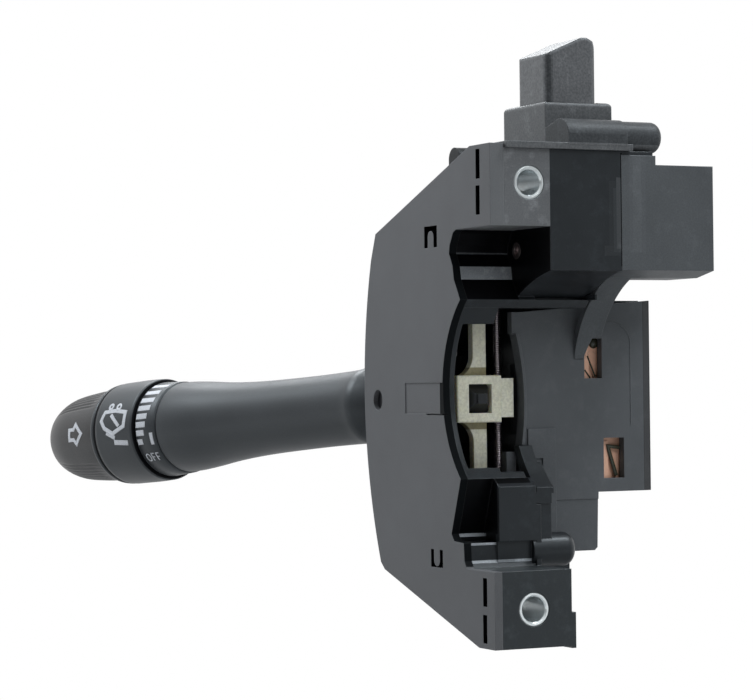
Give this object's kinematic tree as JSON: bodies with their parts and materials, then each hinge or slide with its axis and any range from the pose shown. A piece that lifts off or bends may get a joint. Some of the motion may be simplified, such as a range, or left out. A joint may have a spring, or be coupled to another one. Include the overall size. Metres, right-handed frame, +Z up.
{
  "type": "combination stalk switch",
  "caption": "Steering column stalk switch: C-shaped case with two screw mounts, turn and beam stalk, wiper knob, washer button and hazard button.",
  "frame": {"origin": "midway between the two mounting screws, on the face that meets the column bracket", "axes": "+X towards the steering column, +Y forward to the engine along the column, +Z up"},
  "size_m": [0.2354, 0.1229, 0.1719],
  "materials": {
    "case_plastic": "moulded black nylon with a fine grain",
    "cover_plastic": "moulded dark grey plastic, finely grained",
    "board_plastic": "moulded dark grey plastic, smooth",
    "carrier_plastic": "moulded black plastic, greased",
    "stalk_plastic": "satin dark grey plastic",
    "button_plastic": "grained dark grey plastic",
    "white_nylon": "natural nylon",
    "contact_copper": "bright copper strip",
    "tinned_brass": "tinned brass",
    "zinc_steel": "zinc-plated steel",
    "spring_steel": "oiled spring steel"
  },
  "bodies": {
    "case": {"housing": "case_plastic", "front_cover": "cover_plastic", "upper_bushing": "zinc_steel", "lower_bushing": "zinc_steel", "terminal_board": "board_plastic", "switch_base": "case_plastic", "turn_contact": "contact_copper", "beam_contact": "contact_copper", "upper_connector": "case_plastic", "upper_terminals": "tinned_brass", "lower_connector": "case_plastic", "lower_terminals": "tinned_brass", "detent_track": "carrier_plastic", "cancel_spring": "spring_steel", "stop_pin": "board_plastic", "hazard_base": "case_plastic", "hazard_spring": "spring_steel", "pocket_screw": "zinc_steel"},
    "carrier": {"lever_carrier": "carrier_plastic", "front_pivot_pin": "carrier_plastic", "rear_pivot_pin": "zinc_steel", "beam_pivot_pin": "zinc_steel", "detent_spring": "spring_steel"},
    "plunger": {"detent_plunger": "carrier_plastic"},
    "pawl": {"cancel_pawl": "white_nylon"},
    "slider": {"turn_slider": "white_nylon"},
    "stalk": {"stalk_shaft": "stalk_plastic", "stalk_core": "carrier_plastic", "tick_band": "stalk_plastic", "washer_spring": "spring_steel", "core_plug": "carrier_plastic"},
    "knob": {"wiper_knob": "stalk_plastic"},
    "washer": {"washer_button": "button_plastic"},
    "hazard": {"hazard_button": "button_plastic"}
  },
  "joints": [
    {"name": "turn_pivot", "type": "hinge", "parent": "case", "child": "carrier", "pos_m": [-0.0718, 0.005, -0.00105], "axis": [0, 1, 0], "range_deg": [-9, 9]},
    {"name": "beam_pull", "type": "hinge", "parent": "carrier", "child": "stalk", "pos_m": [-0.0718, 0.005, -0.00105], "axis": [0, 0, 1], "range_deg": [0, 6], "stiffness_Nm_per_rad": 3, "springref_deg": -5.73},
    {"name": "knob_turn", "type": "hinge", "parent": "stalk", "child": "knob", "pos_m": [-0.0718, 0.005, -0.00105], "axis": [-0.9367, -0.3409, -0.0802], "range_deg": [-35, 80]},
    {"name": "washer_push", "type": "slide", "parent": "stalk", "child": "washer", "axis": [0.9367, 0.3409, 0.0802], "range_m": [0, 0.003], "stiffness_N_per_m": 400, "springref_m": -0.003},
    {"name": "hazard_push", "type": "slide", "parent": "case", "child": "hazard", "axis": [0, 0, -1], "range_m": [0, 0.004], "stiffness_N_per_m": 500, "springref_m": -0.003, "deforming": ["hazard_spring"]},
    {"name": "pawl_slide", "type": "slide", "parent": "carrier", "child": "pawl", "axis": [-1, 0, 0], "range_m": [0, 0.002], "stiffness_N_per_m": 300, "springref_m": -0.003},
    {"name": "plunger_slide", "type": "slide", "parent": "carrier", "child": "plunger", "axis": [-1, 0, 0], "range_m": [0, 0.001], "stiffness_N_per_m": 800, "springref_m": -0.003},
    {"name": "slider_travel", "type": "slide", "parent": "case", "child": "slider", "axis": [0, 0, 1], "range_m": [-0.0042, 0.0042]}
  ],
  "couplings": [
    {"joint": "slider_travel", "follows": "turn_pivot", "m_per_rad": -0.0263}
  ]
}
